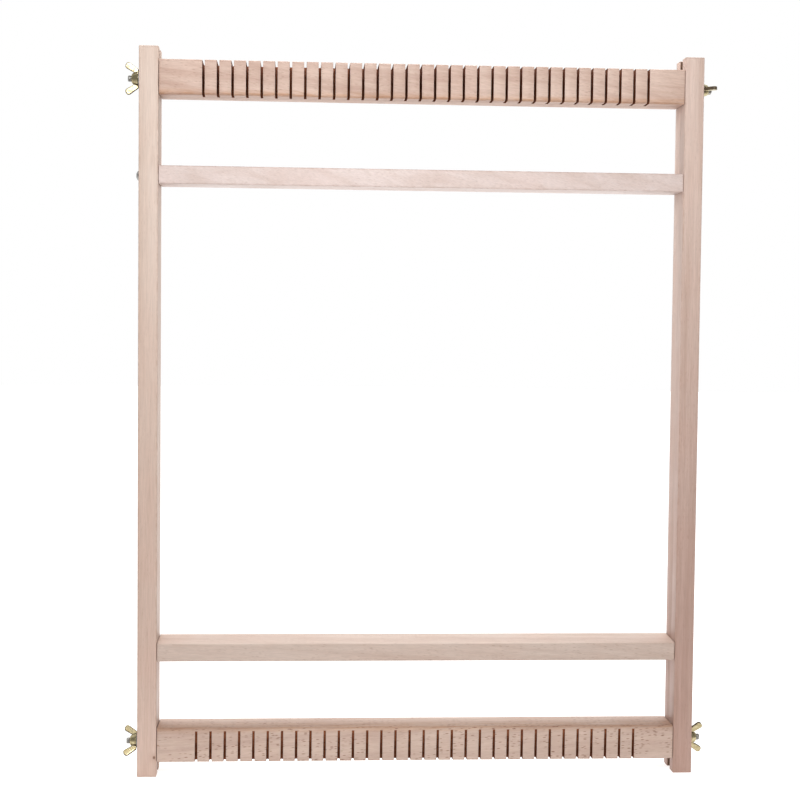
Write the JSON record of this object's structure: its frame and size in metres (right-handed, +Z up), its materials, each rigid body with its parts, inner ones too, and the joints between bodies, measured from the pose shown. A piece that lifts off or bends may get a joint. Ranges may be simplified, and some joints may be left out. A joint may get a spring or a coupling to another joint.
{
  "type": "tapestry frame loom",
  "caption": "Upright wooden frame loom with notched bars that slide in the slotted ends of two side rails, clamped by wing nuts, and plain crossbars between the rails.",
  "frame": {"origin": "centre of the footprint, on the surface that the rail feet stand on", "axes": "+Z up along the rails, -Y towards the notched front face, +X to the right as seen from the front"},
  "size_m": [0.5274, 0.0358, 0.645],
  "materials": {
    "rail_beech": "pale beech, sanded and unvarnished, grain along the rail",
    "notched_bar_beech": "pale beech, sanded and unvarnished, with dark sawn kerfs",
    "crossbar_beech": "pale beech, sanded and unvarnished, grain along the bar",
    "grey_zinc": "zinc plated steel thread",
    "washer_zinc": "zinc plated steel, stamped",
    "yellow_zinc": "yellow passivated zinc on a cast wing nut, satin",
    "screw_steel": "zinc plated wood screw, satin"
  },
  "bodies": {
    "frame": {"left_rail": "rail_beech", "right_rail": "rail_beech", "upper_crossbar": "crossbar_beech", "lower_crossbar": "crossbar_beech", "upper_left_crossbar_screw": "screw_steel", "upper_right_crossbar_screw": "screw_steel", "lower_left_crossbar_screw": "screw_steel", "lower_right_crossbar_screw": "screw_steel"},
    "top_bar_unit": {"top_notched_bar": "notched_bar_beech", "top_left_stud": "grey_zinc", "top_right_stud": "grey_zinc"},
    "bottom_bar_unit": {"bottom_notched_bar": "notched_bar_beech", "bottom_left_stud": "grey_zinc", "bottom_right_stud": "grey_zinc"},
    "top_left_washer_unit": {"top_left_washer": "washer_zinc"},
    "top_right_washer_unit": {"top_right_washer": "washer_zinc"},
    "bottom_left_washer_unit": {"bottom_left_washer": "washer_zinc"},
    "bottom_right_washer_unit": {"bottom_right_washer": "washer_zinc"},
    "top_left_nut_unit": {"top_left_wing_nut": "yellow_zinc"},
    "top_right_nut_unit": {"top_right_wing_nut": "yellow_zinc"},
    "bottom_left_nut_unit": {"bottom_left_wing_nut": "yellow_zinc"},
    "bottom_right_nut_unit": {"bottom_right_wing_nut": "yellow_zinc"}
  },
  "joints": [
    {"name": "top_bar_slide", "type": "slide", "parent": "frame", "child": "top_bar_unit", "axis": [0, 0, 1], "range_m": [-0.01, 0.018]},
    {"name": "bottom_bar_slide", "type": "slide", "parent": "frame", "child": "bottom_bar_unit", "axis": [0, 0, -1], "range_m": [-0.008, 0.012]},
    {"name": "top_left_washer_slide", "type": "slide", "parent": "top_bar_unit", "child": "top_left_washer_unit", "axis": [-1, 0, 0], "range_m": [0, 0.0034]},
    {"name": "top_right_washer_slide", "type": "slide", "parent": "top_bar_unit", "child": "top_right_washer_unit", "axis": [1, 0, 0], "range_m": [0, 0.0034]},
    {"name": "bottom_left_washer_slide", "type": "slide", "parent": "bottom_bar_unit", "child": "bottom_left_washer_unit", "axis": [-1, 0, 0], "range_m": [0, 0.0034]},
    {"name": "bottom_right_washer_slide", "type": "slide", "parent": "bottom_bar_unit", "child": "bottom_right_washer_unit", "axis": [1, 0, 0], "range_m": [0, 0.0034]},
    {"name": "top_left_nut_turn", "type": "hinge", "parent": "top_left_washer_unit", "child": "top_left_nut_unit", "pos_m": [-0.25, 0, 0.6185], "axis": [-1, 0, 0], "range_deg": [0, 1170]},
    {"name": "top_right_nut_turn", "type": "hinge", "parent": "top_right_washer_unit", "child": "top_right_nut_unit", "pos_m": [0.25, 0, 0.6185], "axis": [1, 0, 0], "range_deg": [0, 1170]},
    {"name": "bottom_left_nut_turn", "type": "hinge", "parent": "bottom_left_washer_unit", "child": "bottom_left_nut_unit", "pos_m": [-0.25, 0, 0.0285], "axis": [-1, 0, 0], "range_deg": [0, 1170]},
    {"name": "bottom_right_nut_turn", "type": "hinge", "parent": "bottom_right_washer_unit", "child": "bottom_right_nut_unit", "pos_m": [0.25, 0, 0.0285], "axis": [1, 0, 0], "range_deg": [0, 1170]}
  ],
  "couplings": [
    {"joint": "top_left_washer_slide", "follows": "top_left_nut_turn", "m_per_rad": 0.00015915},
    {"joint": "top_right_washer_slide", "follows": "top_right_nut_turn", "m_per_rad": 0.00015915},
    {"joint": "bottom_left_washer_slide", "follows": "bottom_left_nut_turn", "m_per_rad": 0.00015915},
    {"joint": "bottom_right_washer_slide", "follows": "bottom_right_nut_turn", "m_per_rad": 0.00015915}
  ]
}
